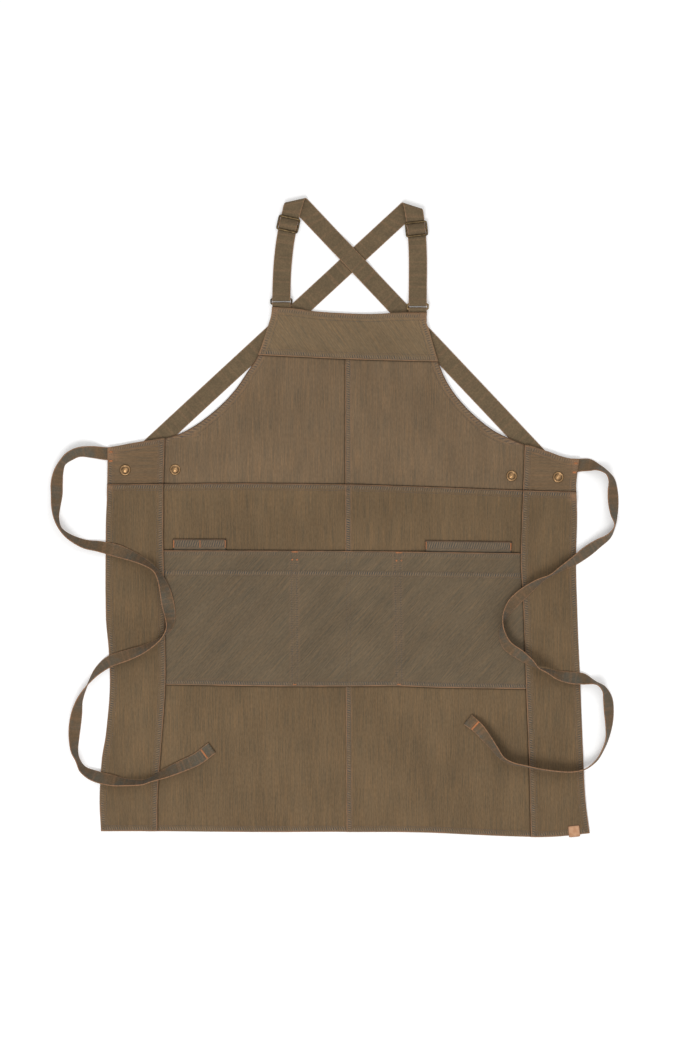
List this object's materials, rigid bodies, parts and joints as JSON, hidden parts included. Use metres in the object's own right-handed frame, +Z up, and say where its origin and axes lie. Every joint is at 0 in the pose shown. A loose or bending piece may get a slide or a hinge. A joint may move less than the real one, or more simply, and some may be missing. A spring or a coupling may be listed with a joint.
{
  "type": "cross back apron",
  "caption": "Work apron lying face up: yoked bib with crossed back straps through sliders, divided front pocket, two welt pockets, side panels, snaps and loose waist ties.",
  "frame": {"origin": "middle of the apron's box without its loose ties, on the surface that it lies on", "axes": "+Y from the hem towards the bib and shoulder folds, +Z up out of the face of the cloth, +X to the viewer's right"},
  "size_m": [0.879, 0.9904, 0.0262],
  "materials": {
    "body_twill": "washed olive and rust pinstripe twill",
    "upper_twill": "washed olive and rust pinstripe twill, stripes across or on the bias",
    "pocket_twill": "washed greyish olive pinstripe twill, stripes on the bias",
    "strap_cloth": "ribbed olive brown cloth strap with worn rust edges",
    "tie_cloth": "flat cloth tie with worn rust edges",
    "antique_brass": "antique, satin, rubbed bright on the edges",
    "patch_leather": "tan leather, matt"
  },
  "bodies": {
    "root": {"bib_left": "upper_twill", "bib_right": "upper_twill", "bib_yoke": "upper_twill", "upper_side_left": "upper_twill", "upper_side_right": "upper_twill", "skirt_left": "body_twill", "skirt_right": "body_twill", "side_left": "body_twill", "side_right": "body_twill", "big_pocket": "pocket_twill", "pen_pocket": "pocket_twill", "towel_pocket": "pocket_twill", "strap_left": "strap_cloth", "strap_right": "strap_cloth", "slider_left": "antique_brass", "slider_right": "antique_brass", "ring_left": "antique_brass", "ring_right": "antique_brass", "tab_left": "upper_twill", "tab_right": "upper_twill", "tie_left": "tie_cloth", "tie_right": "tie_cloth", "snap_outer_left": "antique_brass", "snap_inner_left": "antique_brass", "snap_inner_right": "antique_brass", "snap_outer_right": "antique_brass", "hem_patch": "patch_leather"}
  },
  "joints": []
}
